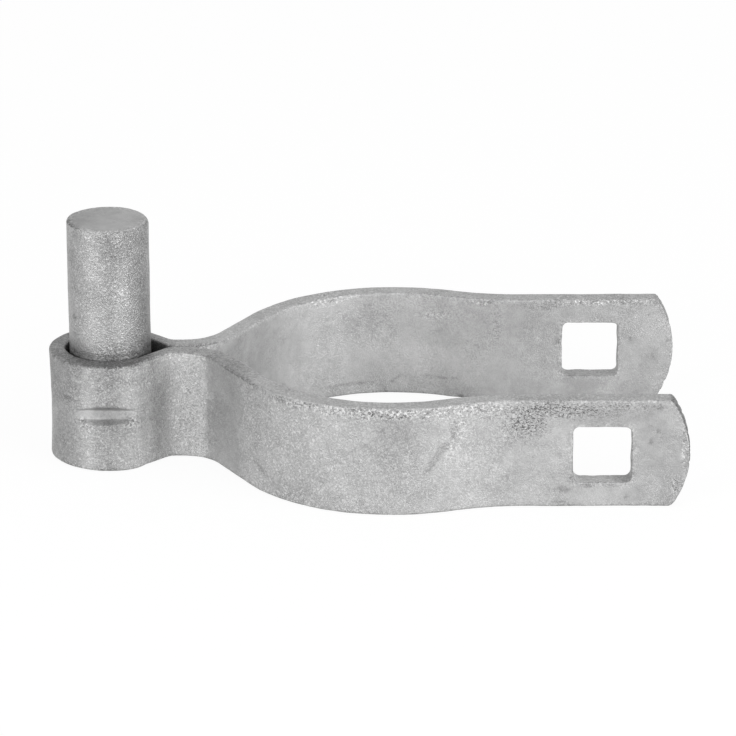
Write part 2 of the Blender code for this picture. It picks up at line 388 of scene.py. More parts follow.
# Pin tones: painted highlights down the front, painted shade at the foot and on the right side, and a
# dark patch near the top
PIN_LIGHT_AND_SHADE = (
    (-1.5, 35.0, 4.5, 99.0, 0.14),
    (0.0, 21.5, 99.0, 2.5, -0.27),
    (-3.2, 35.0, 2.0, 99.0, 0.08),
    (2.9, 31.0, 1.5, 9.0, 0.16),
    (0.6, 43.5, 2.2, 3.5, -0.14),
    (7.4, 28.0, 1.4, 6.0, -0.16),
)
# A painted highlight on the right front of the pin's rim and a painted shadow on its left
RIM_LINE_HIGHLIGHT_AND_SHADOW = (
    (4.5, 47.2, 4.0, 99.0, 0.3),
    (-7.0, 47.2, 2.5, 99.0, -0.3),
)
SAWN_TONES = ((-6.5, -1.0, 3.0, 5.0, -0.14),)

# Light
WORLD_LEVEL = 0.73
FLOOR_OWN_WHITE = 0.93
FLOOR_HALF = 3.0
FLOOR_Z = -0.0001
LAMP_DISTANCE = 0.8
LAMP_ELEVATION = 13.0
LAMP_TALL = 0.3
LEFT_WATTS = 2.8
RIGHT_WATTS = 5.1

# Camera, fitted to the outline in a square frame of 736 pixels
FRAME_PX = 736
FOCAL_PX = 4470.9
SENSOR = 36.0
CAMERA_PLACE = (0.00402, -0.81006, 0.32169)
CAMERA_DOWN = 20.624
CAMERA_YAW = -0.247
CAMERA_ROLL = -0.165


def arc(radius, turn):
    """A stretch of a plan outline as (length, turn in degrees), left for a positive turn."""
    return radius * abs(math.radians(turn)), turn


def line(length):
    return length, 0.0


def walk(start, heading, stretches):
    """A plan outline. The heading turns evenly along each stretch, and the place is the running
    sum of small steps along it. Gives arrays: distance, x, y and heading in radians."""
    lengths, turns = np.array(stretches, float).T
    ends = np.concatenate([[0.0], np.cumsum(lengths)])
    headings = np.radians(heading + np.concatenate([[0.0], np.cumsum(turns)]))
    count = int(ends[-1] / WALK_STEP) + 2
    distance = np.linspace(0.0, ends[-1], count)
    middle = (distance[1:] + distance[:-1]) / 2
    step = np.diff(distance)
    towards = np.interp(middle, ends, headings)
    x = start[0] + np.concatenate([[0.0], np.cumsum(np.cos(towards) * step)])
    y = start[1] + np.concatenate([[0.0], np.cumsum(np.sin(towards) * step)])
    return distance, x, y, np.interp(distance, ends, headings)


def drop(radius, turn):
    """How far an arc moves sideways while it turns from straight to this angle."""
    return radius * (1 - math.cos(math.radians(turn)))


def closing(y, end_y):
    """The slanting line from height y to where the neck's lead arc starts."""
    return line((y - end_y - drop(NECK_LEAD_R, CLOSE_ANGLE)) / math.sin(math.radians(CLOSE_ANGLE)))


def half_plan(stations):
    """Outer and inner points of the half of the strip with y above zero, at these distances along
    its outside. Round the loop the inner point is the one at the same turn of the bore side; past
    the neck it is the wall's thickness in from the outer one. Returns both as (n, 2) arrays."""
    shoulder = [
        arc(LOOP_R, -(90.0 + SHOULDER_FROM)),
        arc(SHOULDER_R, -(SHOULDER_TO - SHOULDER_FROM)),
        arc(VALLEY_R, SHOULDER_TO - CLOSE_ANGLE),
    ]
    lead = arc(NECK_LEAD_R, CLOSE_ANGLE)
    top_y = walk((-LOOP_R, 0.0), 90.0, shoulder)[2][-1]
    loop = shoulder + [closing(top_y, NECK_OUT), lead]
    flare = arc(FLARE_R, FLARE_ANGLE)
    neck_y = NECK_OUT + drop(FLARE_R, FLARE_ANGLE)
    rise = COLLAR_OUT - drop(COLLAR_R, FLARE_ANGLE) - neck_y
    back = math.degrees(math.acos(1 - (COLLAR_OUT - LEG_OUT) / (COLLAR_R + LEAD_R)))
    collar = [
        line(NECK_L),
        flare,
        line(rise / math.sin(math.radians(FLARE_ANGLE))),
        arc(COLLAR_R, -(FLARE_ANGLE + back)),
        arc(LEAD_R, back),
    ]
    bend_x = walk((-LOOP_R, 0.0), 90.0, loop + collar)[1][-1]
    outline = loop + collar + [line(TIP_X - bend_x)]
    distance, x, y, heading = walk((-LOOP_R, 0.0), 90.0, outline)

    bore = [arc(BORE_R, -(90.0 + CLOSE_ANGLE))]
    bore_y = BORE_R * math.sin(math.radians(CLOSE_ANGLE))
    bore += [closing(bore_y, NECK_IN), lead]
    bore_distance, bore_x, bore_y, _ = walk((-BORE_R, 0.0), 90.0, bore)
    same_turn = [0.0, BORE_R * math.radians(90.0 + SHOULDER_FROM), bore[0][0]]
    same_turn += [bore[0][0] + bore[1][0], bore_distance[-1]]
    ends = np.cumsum([0.0] + [length for length, _ in loop])
    shoulder_end = 2
    matched = np.delete(ends, shoulder_end)
    along_bore = np.interp(stations, matched, same_turn)

    at = lambda values: np.interp(stations, distance, values)
    grown = np.clip((stations - ends[-1]) / (NECK_L + flare[0]), 0.0, 1.0)
    wall = LOOP_T + (STRIP_T - LOOP_T) * grown
    outer = np.stack([at(x), at(y)], 1)
    left = np.stack([-np.sin(at(heading)), np.cos(at(heading))], 1)
    inner = outer - left * wall[:, None]
    round_bore = np.stack([np.interp(along_bore, bore_distance, bore_x),
                           np.interp(along_bore, bore_distance, bore_y)], 1)
    inner = np.where((stations <= ends[-1])[:, None], round_bore, inner)
    return outer, inner, distance[-1], ends[-1]


def plan_stations(length, loop_end):
    """Distances along half of the strip's outside: close together round the loop and at the leg's
    end, wider along the collar, and last the stations on which the leg's end rim is rounded."""
    rim = length - TIP_EDGE
    bend = np.linspace(0.0, loop_end + FLARE_R, int((loop_end + FLARE_R) / LOOP_STEP))
    leg_end = length - TIP_REACH
    collar = np.linspace(bend[-1], leg_end, int((leg_end - bend[-1]) / COLLAR_STEP))
    roll = rim - ROLL_BAND
    tip = np.concatenate([np.linspace(leg_end, roll, int(TIP_REACH / LEG_END_STEP)),
                          np.linspace(roll, rim, int(ROLL_BAND / ROLL_STEP))[1:]])
    turn = np.radians(np.linspace(0.0, 90.0, RIM_STEPS + 1))
    rounded = rim + TIP_EDGE * np.sin(turn[1:])
    inset = np.concatenate([np.zeros(len(bend) + len(collar) + len(tip) - 2),
                            TIP_EDGE * (1 - np.cos(turn[1:]))])
    return np.concatenate([bend, collar[1:], tip[1:], rounded]), inset


def face_levels():
    """Heights of the points on the strip's faces, closer together across the chisel mark."""
    low, high = STAKE_Z - STAKE_BAND, STAKE_Z + STAKE_BAND
    lower = np.linspace(STRIP_EDGE, low, int((low - STRIP_EDGE) / FACE_STEP))
    band = np.linspace(low, high, int((high - low) / STAKE_STEP))
    upper = np.linspace(high, STRIP_W - STRIP_EDGE, int((STRIP_W - STRIP_EDGE - high) / FACE_STEP))
    return np.concatenate([lower, band[1:], upper[1:]])


def strip_section():
    """The strip's cross-section as a closed ring of points. A point's depth below the outer face
    is base + share x wall, so the ring fits any wall. Also gives its height, and its outward
    normal as (across, up). The ring runs from the middle of the lower edge up the outer face to
    the middle of the upper edge, and back down the inner face as the mirror image of that."""
    ease = np.linspace(0.5, 0.0, EDGE_STEPS + 1)
    turn = np.radians(np.linspace(0.0, 90.0, EDGE_STEPS + 1)[1:])
    levels = face_levels()
    flat = np.zeros(len(levels))
    corner = STRIP_EDGE * (1 - np.cos(turn))
    rise = STRIP_EDGE * (1 - np.sin(turn))
    edge = STRIP_EDGE * (1 - 2 * ease)
    level = 0 * ease
    base = np.concatenate([edge, corner[::-1][1:], flat, corner, edge[::-1][1:]])
    share = np.concatenate([ease, np.zeros(2 * EDGE_STEPS - 1 + len(levels)), ease[::-1][1:]])
    height = np.concatenate([level, rise[::-1][1:], levels, STRIP_W - rise, STRIP_W + level[1:]])
    across = np.concatenate([level, np.cos(turn)[::-1][1:], flat + 1, np.cos(turn), level[1:]])
    up = np.concatenate([level - 1, -np.sin(turn)[::-1][1:], flat, np.sin(turn), level[1:] + 1])
    back = slice(-2, 0, -1)
    return (
        np.concatenate([base, -base[back]]),
        np.concatenate([share, 1 - share[back]]),
        np.concatenate([height, height[back]]),
        np.concatenate([across, -across[back]]),
        np.concatenate([up, up[back]]),
    )


def waves(points, wavelength, seed):
    """A smooth random field between about -1 and 1: the mean of cosines whose directions and
    phases are drawn once from this seed, times a factor that keeps its spread."""
    rng = np.random.default_rng(seed)
    towards = rng.normal(size=(WAVE_COUNT, 3))
    towards /= np.linalg.norm(towards, axis=1)[:, None]
    stretch = rng.uniform(0.7, 1.4, WAVE_COUNT)[:, None]
    phase = rng.uniform(0, 2 * math.pi, WAVE_COUNT)
    angle = points @ (towards * stretch * 2 * math.pi / wavelength).T + phase
    return np.cos(angle).sum(-1) / math.sqrt(WAVE_COUNT)


def skin(points):
    """How far the zinc skin lies below its highest level: a sum of waves of several lengths."""
    depth = 0.0
    for seed, (wavelength, height) in enumerate(SKIN_WAVES):
        depth = depth + height * (np.tanh(waves(points, wavelength, SKIN_SEED + seed)) - 1)
    return depth


def smooth_max(a, b, soft):
    """The larger of two arrays, with the crossing rounded over a band this wide."""
    mix = np.clip(0.5 + 0.5 * (a - b) / soft, 0.0, 1.0)
    return b + (a - b) * mix + soft * mix * (1 - mix)


def chisel(x, z, nose, floor, upper, lower, yaw=0.0, tilt=0.0):
    """The y of a chisel's face: flat at its nose, sloping back above and below. Yaw sets its end
    at low x deeper, and tilt sets that end lower."""
    off = z - STAKE_Z - x * math.tan(math.radians(tilt))
    above = np.maximum(off - floor / 2, 0.0) / math.tan(math.radians(upper))
    below = np.maximum(-off - floor / 2, 0.0) / math.tan(math.radians(lower))
    return nose - x * math.tan(math.radians(yaw)) - above - below


def press_stake(x, y, z, outside):
    """Presses the chisel mark into the front of the loop and raises a lip along its edge, where
    the chisel's face and the loop's surface meet, and pushes the bulge out inside the bore."""
    front = (y < 0) & (x < WAIST_TO) & (x > -LOOP_R)
    nose = STAKE_DEPTH - LOOP_R
    face = chisel(x, z, nose, STAKE_FLOOR, STAKE_UPPER, STAKE_LOWER, STAKE_YAW, STAKE_TILT)
    apart = face - y
    lip = LIP_HEIGHT * bell(apart, LIP_WIDTH) * (np.abs(z - STAKE_Z) < STAKE_BAND)
    pressed = smooth_max(y, face, STAKE_SOFT) - lip
    y = np.where(front & outside & (apart > -3 * LIP_WIDTH), pressed, y)
    bulge = chisel(0 * x, z, BULGE_DEPTH - BORE_R, BULGE_FLOOR, BULGE_DRAFT, BULGE_DRAFT)
    within = np.clip((BORE_R / 2 - np.abs(x)) / STRIP_EDGE, 0.0, 1.0)
    pushed = y + np.maximum(bulge - y, 0.0) * within
    return np.where(front & ~outside, pushed, y)


def bell(distance, width):
    """1 in the middle, about a third at this width, and soon nothing past it."""
    return np.exp(-((distance / width) ** 2))


def patches(x, z, marks):
    """The strongest of several bells over the x and z plane, each stretched along its own turn."""
    total = 0.0 * x
    for mark_x, mark_z, length, width, turn, strength in marks:
        c, s = math.cos(math.radians(turn)), math.sin(math.radians(turn))
        along = (x - mark_x) * c + (z - mark_z) * s
        across = (z - mark_z) * c - (x - mark_x) * s
        total = np.maximum(total, strength * bell(along, length) * bell(across, width))
    return total


def broad_tones(x, z, tones):
    """How much paler each point is, as zinc tone or as painted highlights and shade: the sum of wide
    soft bells over two axes.
    """
    total = 0.0
    for tone_x, tone_z, wide, tall, paler in tones:
        total = total + paler * bell(x - tone_x, wide) * bell(z - tone_z, tall)
    return total


def tip_drop(z, skew):
    """How far the leg's end lies behind its furthest point at height z: the drop of an arc about
    the strip's middle, a corner blunted more below than above, and a small skew."""
    off = z - STRIP_W / 2
    low = np.clip(1 - z / TIP_CORNER, 0.0, 1.0)
    top = np.clip(1 - (STRIP_W - z) / TIP_CORNER, 0.0, 1.0)
    blunt = TIP_BLUNT_LOW * low**2 + TIP_BLUNT_TOP * top**2
    return TIP_R - np.sqrt(TIP_R**2 - off**2) + blunt - skew * off


def end_roll(to_end, z, side):
    """How far the outer face is rolled over near a leg's end: a quarter of an ellipse whose length
    grows with height on the near leg."""
    up = np.clip((z - ROLL_FROM_Z) / (ROLL_TO_Z - ROLL_FROM_Z), 0.0, 1.0)
    near = ROLL_LEAST + (ROLL_MOST - ROLL_LEAST) * up**2 * (3 - 2 * up)
    length = np.where(side < 0, near, FAR_ROLL)
    left = 1 - np.clip(to_end / length, 0.0, 1.0)
    return length * ROLL_DEPTH * (1 - np.sqrt(1 - left**2))


def strap_points():
    """The strip's surface over (station along the strip, point of its section). Each point is the
    outer outline moved in by the section's depth, then drawn in at the loop's waist, pressed by
    the chisel, opened towards the bore's back, set back at the leg ends, and lowered along its
    normal by the zinc skin."""
    _, _, length, loop_end = half_plan(np.zeros(1))
    stations, inset = plan_stations(length, loop_end)
    outer, inner, _, _ = half_plan(stations)
    mirror = np.array([1.0, -1.0])
    outer = np.concatenate([outer[:0:-1] * mirror, outer])
    inner = np.concatenate([inner[:0:-1] * mirror, inner])
    inset = np.concatenate([inset[:0:-1], inset])[:, None]
    stations = np.concatenate([stations[:0:-1], stations])[:, None]
    side = np.where(np.arange(len(outer)) < len(outer) // 2, -1.0, 1.0)[:, None]

    wall = np.linalg.norm(outer - inner, axis=1)[:, None]
    out = (outer - inner) / wall
    base, share, height, across, up = strip_section()
    depth = base + share * wall
    x = outer[:, :1] - out[:, :1] * depth
    y = outer[:, 1:] - out[:, 1:] * depth
    z = height + 0 * x
    outside = share + 0 * x < 0.5

    fade = np.clip((WAIST_TO - x) / WAIST_TO, 0.0, 1.0)
    mid = 1 - (2 * z / STRIP_W - 1) ** 2
    pull = np.where(outside, WAIST * mid * fade**2 * (3 - 2 * fade) / np.hypot(x, y), 0.0)
    x, y = x * (1 - pull), y * (1 - pull)
    y = press_stake(x, y, z, outside)
    x = x - np.where(outside | (x > 0), 0.0, BORE_LEAD * bell(y, BORE_LEAD_WIDTH))

    reach = np.clip((stations - (length - TIP_REACH)) / TIP_REACH, 0.0, 1.0)
    skew = np.where(side > 0, FAR_TIP_SKEW, 0.0)
    x = x - tip_drop(z, skew) * reach

    points = np.stack([x, y, z], -1)
    end = np.clip(1 - (length - stations) / (3 * TIP_EDGE), 0.0, 1.0)
    nicks = np.maximum(waves(points, NICK_WAVE, NICK_SEED), 0.0) * NICK_DEPTH * end
    fill = VALLEY_FILL * mid * bell(x - VALLEY_FILL_X, VALLEY_FILL_L)
    raised = np.where(outside, fill - end_roll(length - stations, z, side), 0.0)
    lower = skin(points) - inset + raised
    normal = np.stack([out[:, :1] * across, out[:, 1:] * across, up + 0 * x], -1)
    points = points + normal * lower[..., None]
    points[..., 0] -= nicks
    return points


def grid_faces(rows, ring):
    """Quads of a grid whose columns close into a ring, as index arrays."""
    row, k = np.meshgrid(np.arange(rows - 1) * ring, np.arange(ring), indexing="ij")
    after = (k + 1) % ring
    quads = np.stack([row + k, row + after, row + ring + after, row + ring + k], -1)
    return quads.reshape(-1, 4)


def end_ladder(first, ring, flip):
    """Faces that close a ring by rungs between each point and its mirror image across the wall."""
    k = np.arange(1, ring // 2 - 1)
    rungs = np.stack([k, k + 1, ring - k - 1, ring - k], -1)
    tips = np.array([[0, 1, ring - 1], [ring // 2 - 1, ring // 2, ring // 2 + 1]])
    turned = slice(None, None, -1 if flip else 1)
    return (first + rungs[:, turned]).tolist() + (first + tips[:, turned]).tolist()


def new_piece(name, points, faces):
    """An object at the origin whose mesh holds these points, given in millimetres from the pin's
    axis, moved to the frame's place and turned to metres."""
    mesh = bpy.data.meshes.new(name)
    placed = (np.asarray(points).reshape(-1, 3) + (AXIS_X, 0.0, 0.0)) * MM
    mesh.from_pydata(placed, [], faces)
    mesh.validate()
    made = bpy.data.objects.new(name, mesh)
    bpy.context.scene.collection.objects.link(made)
    return made


def punch(name, z, size, low_corner, side, seed):
    """A closed square bar with rounded corners across one leg, of which the lower one nearer the
    collar has its own radius. Where it meets a face it widens by a quarter circle, which leaves
    the hole's rim rounded, and past the face it flares on. Side is -1 for the near leg and 1 for
    the far one."""
    wide, tall = size[0] - HOLE_CORNER, size[1] - HOLE_CORNER
    corner = arc(HOLE_CORNER, 90.0)
    lengths = [line(size[0] / 2 - HOLE_CORNER), corner, line(tall - HOLE_CORNER), corner,
               line(wide - HOLE_CORNER), corner, line(tall - low_corner), arc(low_corner, 90.0),
               line(size[0] / 2 - low_corner)]
    distance, along, up, heading = walk((0.0, -size[1] / 2), 0.0, lengths)
    pick = np.linspace(0.0, distance[-1], HOLE_POINTS, endpoint=False)
    along, up, heading = (np.interp(pick, distance, values) for values in (along, up, heading))
    turn = np.radians(np.linspace(0.0, 90.0, EDGE_STEPS + 1))
    rim_in = HOLE_EDGE * (1 - np.cos(turn))
    widen = HOLE_EDGE * (1 - np.sin(turn))
    flared = [HOLE_EDGE + PUNCH_FLARE]
    depth = np.concatenate([[-PUNCH_PAST], rim_in, STRIP_T - rim_in[::-1], [STRIP_T + PUNCH_PAST]])
    offset = np.concatenate([flared, widen, widen[::-1], flared])[:, None]
    x_ring = HOLE_X + along + np.sin(heading) * offset
    z_ring = z + up - np.cos(heading) * offset
    y_ring = side * (LEG_IN + depth)[:, None] + 0 * x_ring
    points = np.stack([x_ring, y_ring, z_ring], -1)
    rough = HOLE_ROUGH * waves(points, HOLE_WAVE, seed)
    points[..., 0] += rough * np.sin(heading)
    points[..., 2] -= rough * np.cos(heading)
    rows, ring = x_ring.shape
    faces = grid_faces(rows, ring)
    first = np.arange(ring)
    last = (rows - 1) * ring + np.arange(ring)
    faces, first, last = faces.tolist(), first[::-1].tolist(), last.tolist()
    if side > 0:
        faces = [face[::-1] for face in faces]
        first, last = first[::-1], last[::-1]
    return new_piece(name, points, faces + [first, last])


def cut_out(piece, cutters):
    """Cuts these blocks out of the piece for good, and removes them."""
    for cutter in cutters:
        modifier = piece.modifiers.new(cutter.name, "BOOLEAN")
        modifier.operation = "DIFFERENCE"
        modifier.solver = "EXACT"
        modifier.object = cutter
    bpy.context.view_layer.update()
    graph = bpy.context.evaluated_depsgraph_get()
    finished = bpy.data.meshes.new_from_object(piece.evaluated_get(graph))
    piece.modifiers.clear()
    uncut = piece.data
    piece.data = finished
    bpy.data.meshes.remove(uncut)
    finished.name = piece.name
    for cutter in cutters:
        bpy.data.objects.remove(cutter)


def smooth(piece):
    piece.data.shade_smooth()
    piece.data.set_sharp_from_angle(angle=math.radians(SMOOTH_ANGLE))


def vertex_places(mesh):
    """Vertex places as millimetres from the pin's axis."""
    places = np.empty(len(mesh.vertices) * 3, np.float32)
    mesh.vertices.foreach_get("co", places)
    return places.reshape(-1, 3) / MM - (AXIS_X, 0.0, 0.0)


def store(mesh, name, domain, values):
    attribute = mesh.attributes.new(name, "FLOAT", domain)
    attribute.data.foreach_set("value", np.ascontiguousarray(values, np.float32))


def vector_values(items, name):
    """One vector per item of a mesh collection, as an (n, 3) array."""
    values = np.empty(len(items) * 3, np.float32)
    items.foreach_get(name, values)
    return values.reshape(-1, 3)


def along_coat(x, coat):
    """Coarseness and paleness at x, read along one of the coat's tables."""
    at, coarse, pale = np.array(coat).T
    return np.interp(x, at, coarse), np.interp(x, at, pale)


def strap_coat_and_light(x, y, z, normal, near, far):
    """Coarseness and paleness at each point, where the paleness is zinc tone mixed with painted
    highlights and shade. Near is the near half's outer face and far the far half's inner face,
    each with its own run along x and its broad tones, with painted highlights on the near loop and
    neck. The loop pales towards its foot. The chisel mark is smooth, with a flat that is paler
    than its walls, which are painted shade, and the lower edge is painted dark as shade. The upper
    edge has its own run, with painted shade on the loop's rim, and on it a painted dark line of
    shade follows the inner outline where the two halves meet. The bore is painted dark as shade."""
    normal_x, normal_y, normal_z = normal.T
    near_coarse, near_pale = along_coat(x, NEAR_COAT_AND_LIGHT)
    far_coarse, far_pale = along_coat(x, FAR_COAT)
    near_pale = near_pale + broad_tones(x, z, NEAR_TONES_AND_LIGHT)
    far_pale = far_pale + broad_tones(x, z, FAR_TONES)
    coarse = np.where(near, near_coarse, np.where(far, far_coarse, HIDDEN_COARSE))
    pale = np.where(near, near_pale, np.where(far, far_pale, 0.0))

    off_mark = z - STAKE_Z
    pressed = (np.hypot(x, y) < LOOP_R - MARK_INSET) & (np.abs(off_mark) < STAKE_BAND)
    mark = near & (x < MARK_TO_X) & pressed
    # Painted shade: the chisel mark's walls are darkened
    mark_pale = np.where(np.abs(off_mark) < STAKE_FLOOR / 2, MARK_FLAT_PALE, MARK_WALL_SHADE)
    coarse = coarse + mark * MARK_SMOOTH
    pale = pale + mark * mark_pale + (near & (x < LOOP_TO_X)) * LOOP_PALE_SLOPE * off_mark

    # Painted shade along the lower edge
    lower = np.clip(-2 * normal_z, 0.0, 1.0) * (z < EDGE_BAND)
    upper = np.clip(2 * normal_z, 0.0, 1.0) * (z > STRIP_W - EDGE_BAND)
    # The upper edge's run paints shade on the loop's rim under the pin
    upper_coarse, upper_pale = along_coat(x, UPPER_COAT_AND_SHADE)
    pale = pale + LOWER_EDGE_SHADE * lower
    coarse = coarse + (upper_coarse - coarse) * upper
    pale = pale + (upper_pale - pale) * upper

    # Painted shade: a dark line along the gap where the two halves meet
    _, inner, _, _ = half_plan(np.linspace(SEAM_FROM, SEAM_TO, SEAM_POINTS))
    off_seam = np.abs(y) - np.interp(x, *inner.T)
    seam = bell(off_seam, SEAM_WIDTH) * bell(x - SEAM_X, SEAM_REACH) * (normal_z > UPPER_Z)
    # Painted shade: the bore's inside is darkened
    in_bore = (normal_x * x + normal_y * y < 0) & (x < BORE_TO_X) & (np.abs(normal_z) < SILL_Z)
    return coarse, np.where(in_bore, BORE_SHADE, pale + seam * SEAM_SHADE)


def mark_strap(mesh):
    """Stores what the zinc needs to know at each point. Rim is a bell of the distance to the
    nearest edge. Coarse and pale describe the coat, and pale also holds painted highlights and
    shade. Beads, pits and stain are the marks' patches on the two faces that look to the front,
    where the beads also carry painted glints and the stains some painted shade, and rolled is the
    leg ends' rolled edge. Sheared is stored by face: the leg ends are bare, the holes' walls less
    so, and the holes' rims are painted dark as shade. The near hole's sill changes along x from
    the hole's middle."""
    x, y, z = vertex_places(mesh).T
    normal = vector_values(mesh.vertices, "normal")
    front = normal[:, 1] < FRONT_Y
    near, far = front & (y < 0), front & (y > 0)
    to_edge = np.minimum(z, STRIP_W - z)
    tip_x = TIP_X - tip_drop(np.clip(z, 0, STRIP_W), np.where(y > 0, FAR_TIP_SKEW, 0.0))
    to_tip = np.where(x > HOLE_X, np.maximum(tip_x - x, 0.0), STRIP_W)
    hole_z = np.where(y > 0, FAR_HOLE_Z, NEAR_HOLE_Z)
    to_hole = np.maximum(np.abs(x - HOLE_X), np.abs(z - hole_z)) - NEAR_HOLE_SIZE[0] / 2
    nearest = np.minimum(np.minimum(to_edge, to_tip), np.abs(to_hole))
    coarse, pale = strap_coat_and_light(x, y, z, normal, near, far)
    rolled = np.where(y < 0, np.clip((z - ROLLED_FROM_Z) / ROLLED_RISE, 0.0, 1.0), FAR_ROLLED)
    store(mesh, "rim", "POINT", bell(nearest, RIM_WIDTH))
    store(mesh, "coarse", "POINT", coarse)
    store(mesh, "pale", "POINT", pale)
    store(mesh, "rolled", "POINT", bell(to_tip, ROLLED_WIDTH) * rolled)
    marks = {"beads_and_glints": (NEAR_BEADS_AND_GLINTS, FAR_BEADS_AND_GLINTS), "pits": (NEAR_PITS, FAR_PITS),
             "stain_and_shade": (NEAR_STAINS_AND_SHADE, FAR_STAINS)}
    for name, (near_marks, far_marks) in marks.items():
        store(mesh, name, "POINT", near * patches(x, z, near_marks) + far * patches(x, z, far_marks))

    normal_x, normal_y, normal_z = vector_values(mesh.polygons, "normal").T
    x, y, z = (vector_values(mesh.polygons, "center") / MM - (AXIS_X, 0.0, 0.0)).T
    on_end = (x > TIP_X - END_ZONE) & (normal_x > END_X)
    by_hole = (np.abs(x - HOLE_X) < HOLE_ZONE) & (np.abs(z - STRIP_W / 2) < HOLE_ZONE)
    in_hole = by_hole & (np.abs(normal_y) < WALL_Y)
    hole_rim = by_hole & (normal_y > RIM_Y[0]) & (normal_y < RIM_Y[1])
    near_sill = np.interp(x - HOLE_X, *np.array(NEAR_SILL_TONE).T)
    sill = np.where(y < 0, near_sill, FAR_SILL_SHEAR)
    sheared_and_rim_shade = np.where(normal_z > SILL_Z, sill, HOLE_WALL_SHEAR) * in_hole
    # Painted shade: the holes' rims are darkened as an outline
    sheared_and_rim_shade = np.where(hole_rim, np.where(y < 0, NEAR_HOLE_RIM_SHADE, FAR_HOLE_RIM_SHADE), sheared_and_rim_shade)
    store(mesh, "sheared_and_rim_shade", "FACE", np.where(on_end, 1.0, sheared_and_rim_shade))


def build_strap():
    points = strap_points()
    rows, ring = points.shape[:2]
    faces = grid_faces(rows, ring).tolist()
    faces += end_ladder(0, ring, True)
    faces += end_ladder((rows - 1) * ring, ring, False)
    strap = new_piece("folded_strip", points, faces)
    near = punch("near_punch", NEAR_HOLE_Z, NEAR_HOLE_SIZE, NEAR_HOLE_LOW_CORNER, -1, NEAR_HOLE_SEED)
    far = punch("far_punch", FAR_HOLE_Z, FAR_HOLE_SIZE, HOLE_CORNER, 1, FAR_HOLE_SEED)
    cut_out(strap, [near, far])
    smooth(strap)
    mark_strap(strap.data)
    return strap


def pin_points():
    """The pin as a surface of revolution over (point of its profile, angle round the axis). The
    profile runs over the foot, up the side and over the top, and each end's rim is a quarter
    circle whose radius grows and shrinks round the pin. The zinc skin lowers it, and the stake
    bulge's dent is the larger of the surface's y and a chisel face."""
    around = np.linspace(0, 2 * math.pi, PIN_AROUND, endpoint=False)
    edge = PIN_EDGE + PIN_EDGE_UNEVEN * np.cos(around - math.radians(PIN_EDGE_WORST))
    turn = np.radians(np.linspace(0.0, 90.0, PIN_RIM_LEVELS))[:, None]
    disc = np.linspace(PIN_DISC_CENTRE, 1.0, PIN_DISC_RINGS)[:-1, None] * (PIN_R - edge)
    side = np.linspace(0.0, 1.0, PIN_LEVELS)[1:-1, None]
    foot_r = (PIN_R - edge) + 0 * turn + edge * np.sin(turn)
    foot_z = PIN_FOOT + edge * (1 - np.cos(turn))
    side_z = (PIN_FOOT + edge) * (1 - side) + (PIN_TOP - edge) * side
    top_r = PIN_R - edge + edge * np.cos(turn)
    top_z = PIN_TOP - edge + edge * np.sin(turn)
    radius = np.concatenate([disc, foot_r, PIN_R + 0 * side_z, top_r, disc[::-1]])
    z = np.concatenate([PIN_FOOT + 0 * disc, foot_z, side_z, top_z, PIN_TOP + 0 * disc])
    x, y = radius * np.cos(around), radius * np.sin(around)
    points = np.stack([x, y, z], -1)
    lower = skin(points + (0.0, 0.0, PIN_SKIN_SHIFT))
    points[..., :2] += (points[..., :2] / PIN_R) * lower[..., None]
    points[..., 2] += lower * np.where(z > PIN_TOP - PIN_EDGE, 1.0, 0.0)
    nose = BULGE_DEPTH + PIN_GAP - BORE_R
    dent = chisel(0 * z, z, nose, BULGE_FLOOR + 2 * PIN_GAP, BULGE_DRAFT, BULGE_DRAFT)
    points[..., 1] = np.where(z < STRIP_W, np.maximum(points[..., 1], dent), points[..., 1])
    return points


def build_pin():
    points = pin_points()
    rows, ring = points.shape[:2]
    faces = grid_faces(rows, ring).tolist()
    poles = points[[0, -1]].mean(1)
    count = rows * ring
    k = np.arange(ring)
    foot = np.stack([k, (k + 1) % ring, 0 * k + count], -1)
    top = np.stack([(k + 1) % ring + count - ring, k + count - ring, 0 * k + count + 1], -1)
    faces += foot[:, ::-1].tolist() + top[:, ::-1].tolist()
    pin = new_piece("pintle_pin", np.concatenate([points.reshape(-1, 3), poles]), faces)
    smooth(pin)
    mark_pin(pin.data)
    return pin


def mark_pin(mesh):
    """Stores the rim at the pin's top, the coat and the stains on its front, whose ring at the foot
    is painted shade. The side grows coarser upwards and has its broad tones, mostly painted
    highlights and shade, the sawn end is smooth and darker on its left, and a line at the front of
    its rim is a painted highlight on the right and a painted shadow on the left."""
    x, y, z = vertex_places(mesh).T
    radius = np.hypot(x, y)
    below = PIN_TOP - z
    sawn = (below < SAWN_DEPTH) & (radius < PIN_R - SAWN_INSET)
    rim_line = (below < RIM_LINE_DEPTH) & (y < 0)
    side_coarse = SIDE_COARSE + SIDE_COARSE_SLOPE * (z - STRIP_W)
    # Painted highlights and shade on the pin's side and along the front of its rim
    side_pale = broad_tones(x, z, PIN_LIGHT_AND_SHADE) + rim_line * broad_tones(x, z, RIM_LINE_HIGHLIGHT_AND_SHADOW)
    sawn_pale = SAWN_PALE + broad_tones(x, y, SAWN_TONES)
    store(mesh, "rim", "POINT", bell(below, PIN_RIM_WIDTH) * (radius > PIN_R - PIN_RIM_INSET))
    store(mesh, "coarse", "POINT", np.where(sawn, SAWN_COARSE, side_coarse))
    store(mesh, "pale", "POINT", np.where(sawn, sawn_pale, side_pale))
    # The pin's stains include a ring of painted shade at its foot
    store(mesh, "stain_and_shade", "POINT", (y < 0) * patches(x, z, PIN_STAINS_AND_SHADE))


